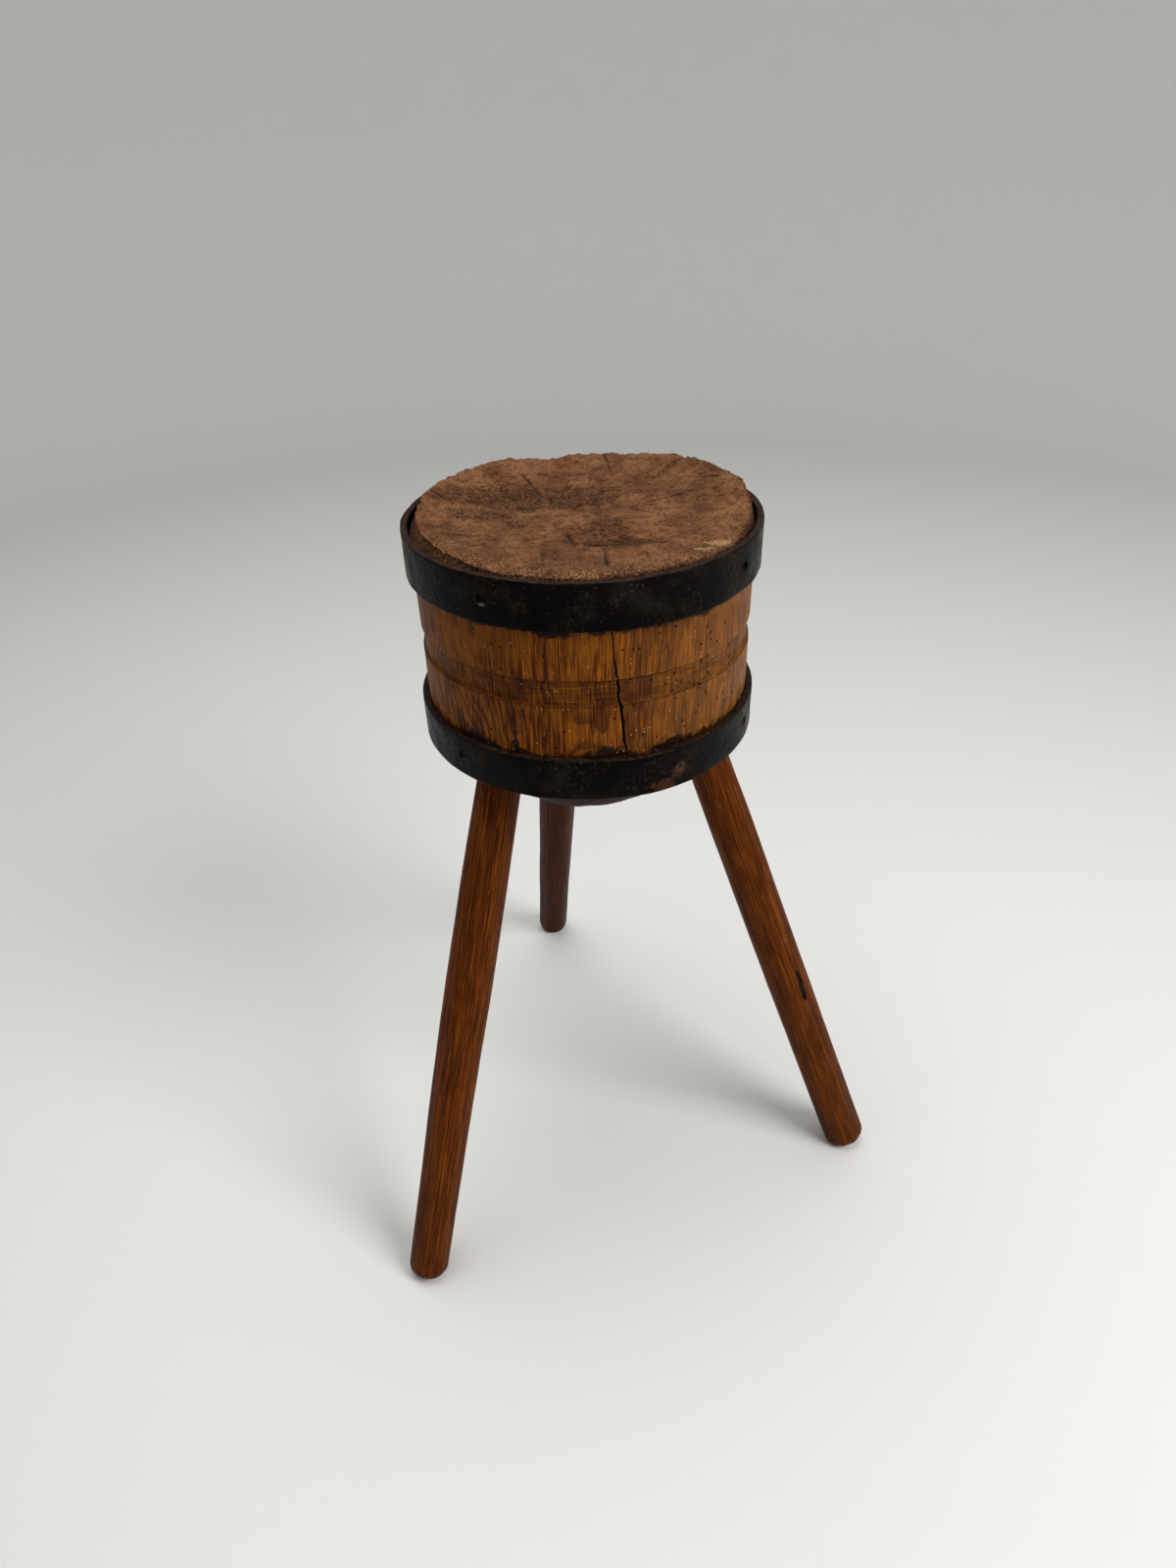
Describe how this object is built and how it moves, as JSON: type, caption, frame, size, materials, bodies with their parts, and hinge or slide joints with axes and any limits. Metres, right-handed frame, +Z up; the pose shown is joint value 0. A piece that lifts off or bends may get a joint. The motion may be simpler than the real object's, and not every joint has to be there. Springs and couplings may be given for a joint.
{
  "type": "three-legged chopping block",
  "caption": "Round end-grain butcher's chopping block, bound by iron hoops, on splayed pole legs.",
  "frame": {"origin": "middle of the footprint, on the floor", "axes": "+Z up, -Y to the front, where the working face is lowest, +X to the right"},
  "size_m": [0.4979, 0.5684, 0.727],
  "materials": {
    "block_wood": "varnished side, dry worn end grain on top",
    "hoop_iron": "forged iron, blackened and waxed, brown at the edges",
    "leg_wood": "reddish brown stain under old varnish",
    "nail_iron": "blackened, rusted at the rim"
  },
  "bodies": {
    "root": {"block": "block_wood", "upper_hoop": "hoop_iron", "lower_hoop": "hoop_iron", "leg_front_left": "leg_wood", "leg_right": "leg_wood", "leg_back": "leg_wood", "upper_nail_left": "nail_iron", "upper_nail_back_left": "nail_iron", "upper_nail_back_right": "nail_iron", "lower_nail_left": "nail_iron", "lower_nail_back": "nail_iron", "upper_hoop_rivet": "nail_iron", "lower_hoop_rivet": "nail_iron"}
  },
  "joints": []
}
